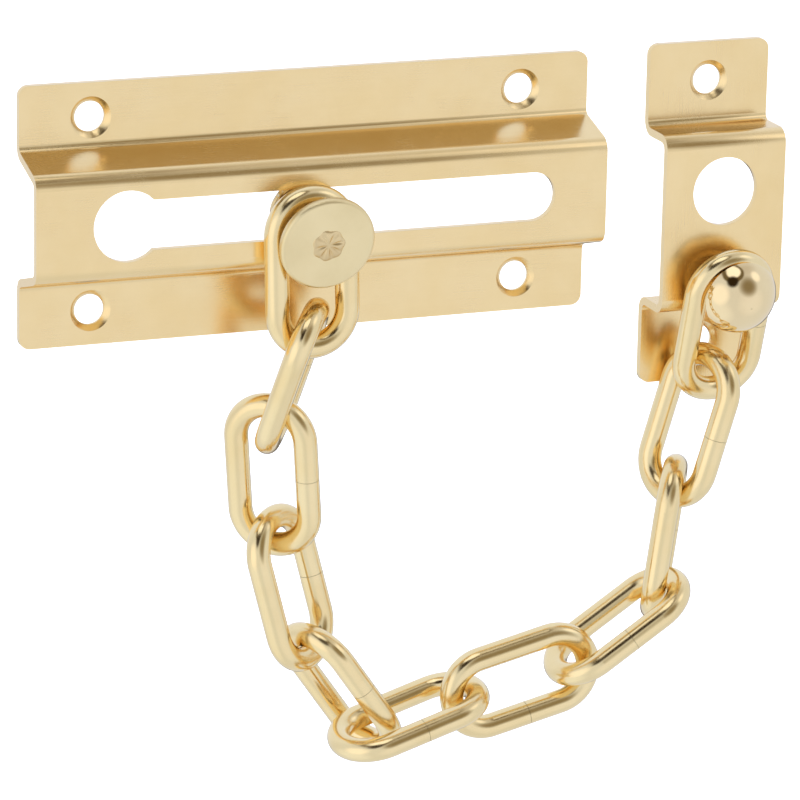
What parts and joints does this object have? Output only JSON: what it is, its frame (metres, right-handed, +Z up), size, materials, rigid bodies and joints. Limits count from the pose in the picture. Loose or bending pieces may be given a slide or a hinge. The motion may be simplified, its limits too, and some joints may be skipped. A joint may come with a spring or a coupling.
{
  "type": "door chain guard",
  "caption": "Surface-mounted door chain guard: a keyhole track plate with a sliding button, an oval-link chain and a strap-shaped jamb bracket.",
  "frame": {"origin": "middle of the track plate's four screw holes, on the wall plane", "axes": "+X from the track plate to the jamb bracket, +Z up, -Y out of the wall towards the room"},
  "size_m": [0.1149, 0.0183, 0.1027],
  "materials": {
    "satin_brass_sheet": "satin, finely brushed",
    "brass_wire": "semi-bright drawn wire",
    "brass_stud": "turned",
    "pale_brass_disc": "matte, pale",
    "bright_brass_rivet": "polished dome"
  },
  "bodies": {
    "plates": {"track_plate": "satin_brass_sheet", "jamb_bracket": "satin_brass_sheet", "anchor_rivet": "bright_brass_rivet"},
    "slide_button": {"slide_stud": "brass_stud", "slide_disc": "pale_brass_disc"},
    "link_01": {"chain_link_01": "brass_wire"},
    "link_02": {"chain_link_02": "brass_wire"},
    "link_03": {"chain_link_03": "brass_wire"},
    "link_04": {"chain_link_04": "brass_wire"},
    "link_05": {"chain_link_05": "brass_wire"},
    "link_06": {"chain_link_06": "brass_wire"},
    "link_07": {"chain_link_07": "brass_wire"},
    "link_08": {"chain_link_08": "brass_wire"},
    "link_09": {"chain_link_09": "brass_wire"},
    "link_10": {"chain_link_10": "brass_wire"},
    "link_11": {"chain_link_11": "brass_wire"}
  },
  "joints": [
    {"name": "button_slide", "type": "slide", "parent": "plates", "child": "slide_button", "axis": [1, 0, 0], "range_m": [-0.0271, 0.0342]},
    {"name": "link_01_swing", "type": "hinge", "parent": "slide_button", "child": "link_01", "pos_m": [-0.0024, 0, -0.0017], "axis": [0, -1, 0], "range_deg": [-14.71, 11.66]},
    {"name": "link_02_swing", "type": "hinge", "parent": "link_01", "child": "link_02", "pos_m": [-0.003, 0, -0.0138], "axis": [0, -1, 0], "range_deg": [-2.49, 3.15]},
    {"name": "link_03_swing", "type": "hinge", "parent": "link_02", "child": "link_03", "pos_m": [-0.0078, 0, -0.0284], "axis": [0, -1, 0], "range_deg": [-3.73, 2.96]},
    {"name": "link_04_swing", "type": "hinge", "parent": "link_03", "child": "link_04", "pos_m": [-0.0058, 0, -0.0481], "axis": [0, -1, 0], "range_deg": [-1.38, 1.1]},
    {"name": "link_05_swing", "type": "hinge", "parent": "link_04", "child": "link_05", "pos_m": [-0.0015, 0, -0.0654], "axis": [0, -1, 0], "range_deg": [-2.65, 3.34]},
    {"name": "link_11_swing", "type": "hinge", "parent": "plates", "child": "link_11", "pos_m": [0.0627, 0, -0.0158], "axis": [0, -1, 0], "range_deg": [-9.79, 12.35]},
    {"name": "link_10_swing", "type": "hinge", "parent": "link_11", "child": "link_10", "pos_m": [0.0609, 0, -0.0264], "axis": [0, -1, 0], "range_deg": [-4.82, 6.08]},
    {"name": "link_09_swing", "type": "hinge", "parent": "link_10", "child": "link_09", "pos_m": [0.056, 0, -0.0455], "axis": [0, -1, 0], "range_deg": [-0.32, 0.4]},
    {"name": "link_08_swing", "type": "hinge", "parent": "link_09", "child": "link_08", "pos_m": [0.0546, 0, -0.0632], "axis": [0, -1, 0], "range_deg": [-0.4, 0.32]},
    {"name": "link_07_swing", "type": "hinge", "parent": "link_08", "child": "link_07", "pos_m": [0.0375, 0, -0.0725], "axis": [0, -1, 0], "range_deg": [-28.03, 22.21]},
    {"name": "link_06_swing", "type": "hinge", "parent": "link_07", "child": "link_06", "pos_m": [0.024, 0, -0.074], "axis": [0, -1, 0], "range_deg": [-0.6, 0.48]}
  ],
  "couplings": [
    {"joint": "link_01_swing", "follows": "button_slide", "rad_per_m": -7.5},
    {"joint": "link_02_swing", "follows": "button_slide", "rad_per_m": 1.6},
    {"joint": "link_03_swing", "follows": "button_slide", "rad_per_m": -1.9},
    {"joint": "link_04_swing", "follows": "button_slide", "rad_per_m": -0.7},
    {"joint": "link_05_swing", "follows": "button_slide", "rad_per_m": 1.7},
    {"joint": "link_11_swing", "follows": "button_slide", "rad_per_m": 6.3},
    {"joint": "link_10_swing", "follows": "button_slide", "rad_per_m": 3.1},
    {"joint": "link_09_swing", "follows": "button_slide", "rad_per_m": 0.2},
    {"joint": "link_08_swing", "follows": "button_slide", "rad_per_m": -0.2},
    {"joint": "link_07_swing", "follows": "button_slide", "rad_per_m": -14.3},
    {"joint": "link_06_swing", "follows": "button_slide", "rad_per_m": -0.3}
  ]
}
